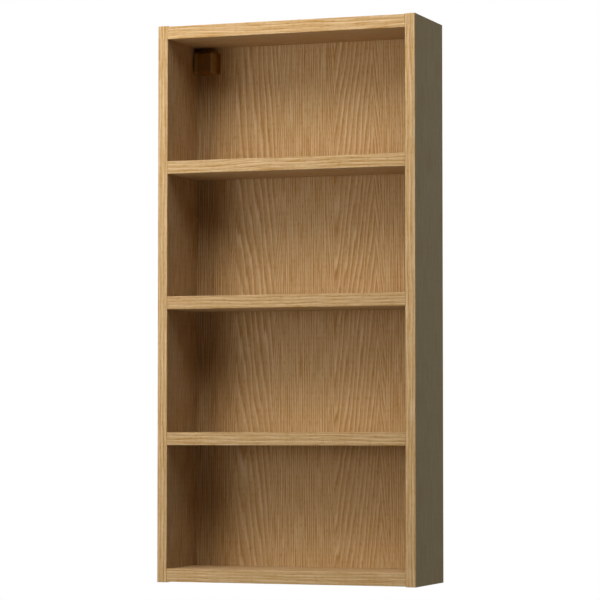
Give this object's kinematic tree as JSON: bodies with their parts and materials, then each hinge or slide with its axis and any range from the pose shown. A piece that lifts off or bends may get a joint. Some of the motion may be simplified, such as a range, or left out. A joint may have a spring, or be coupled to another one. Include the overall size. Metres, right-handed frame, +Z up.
{
  "type": "wall shelf",
  "caption": "Tall narrow open wall shelf in oak veneer with fixed shelves, a recessed back and adjustable hangers under brown covers that hook onto a steel wall rail.",
  "frame": {"origin": "midway between the wall rail's two screw slots, on the wall plane", "axes": "+X to the right as seen from the front, +Y towards the wall, +Z up"},
  "size_m": [0.4, 0.134, 0.824],
  "materials": {
    "oak_veneer": "satin",
    "oak_back": "satin",
    "oak_edging": "satin",
    "beech": "matte",
    "zinc_plated_steel": "satin",
    "spring_steel": "satin",
    "dark_plastic": "matte",
    "brown_plastic": "matte"
  },
  "bodies": {
    "wall_rail": {"wall_rail": "zinc_plated_steel"},
    "carcass": {"left_side": "oak_veneer", "right_side": "oak_veneer", "top_panel": "oak_veneer", "bottom_panel": "oak_veneer", "shelf_upper": "oak_veneer", "shelf_middle": "oak_veneer", "shelf_lower": "oak_veneer", "back_panel": "oak_back", "left_side_edging": "oak_edging", "right_side_edging": "oak_edging", "top_edging": "oak_edging", "bottom_edging": "oak_edging", "shelf_upper_edging": "oak_edging", "shelf_middle_edging": "oak_edging", "shelf_lower_edging": "oak_edging", "dowels": "beech", "cam_bolts": "zinc_plated_steel", "cam_locks": "zinc_plated_steel", "left_hanger_housing": "dark_plastic", "right_hanger_housing": "dark_plastic"},
    "left_hook": {"left_hanger_hook": "zinc_plated_steel"},
    "left_height_screw": {"left_height_screw": "zinc_plated_steel", "left_screw_clip": "spring_steel"},
    "left_cover": {"left_hanger_cover": "brown_plastic"},
    "right_hook": {"right_hanger_hook": "zinc_plated_steel"},
    "right_height_screw": {"right_height_screw": "zinc_plated_steel", "right_screw_clip": "spring_steel"},
    "right_cover": {"right_hanger_cover": "brown_plastic"}
  },
  "joints": [
    {"name": "shelf_lift", "type": "slide", "parent": "wall_rail", "child": "carcass", "axis": [0, 0, 1], "range_m": [0, 0.012]},
    {"name": "left_screw_turn", "type": "hinge", "parent": "carcass", "child": "left_height_screw", "pos_m": [-0.16785, -0.0177, 0.0223], "axis": [0, 0, -1], "range_deg": [0, 2880]},
    {"name": "left_hook_height", "type": "slide", "parent": "carcass", "child": "left_hook", "axis": [0, 0, 1], "range_m": [0, 0.008]},
    {"name": "left_cover_pull", "type": "slide", "parent": "carcass", "child": "left_cover", "axis": [0, -1, 0], "range_m": [0, 0.03]},
    {"name": "right_screw_turn", "type": "hinge", "parent": "carcass", "child": "right_height_screw", "pos_m": [0.16785, -0.0177, 0.0223], "axis": [0, 0, -1], "range_deg": [0, 2880]},
    {"name": "right_hook_height", "type": "slide", "parent": "carcass", "child": "right_hook", "axis": [0, 0, 1], "range_m": [0, 0.008]},
    {"name": "right_cover_pull", "type": "slide", "parent": "carcass", "child": "right_cover", "axis": [0, -1, 0], "range_m": [0, 0.03]}
  ],
  "couplings": [
    {"joint": "left_screw_turn", "follows": "left_hook_height", "rad_per_m": 6283.2},
    {"joint": "right_screw_turn", "follows": "right_hook_height", "rad_per_m": 6283.2}
  ]
}
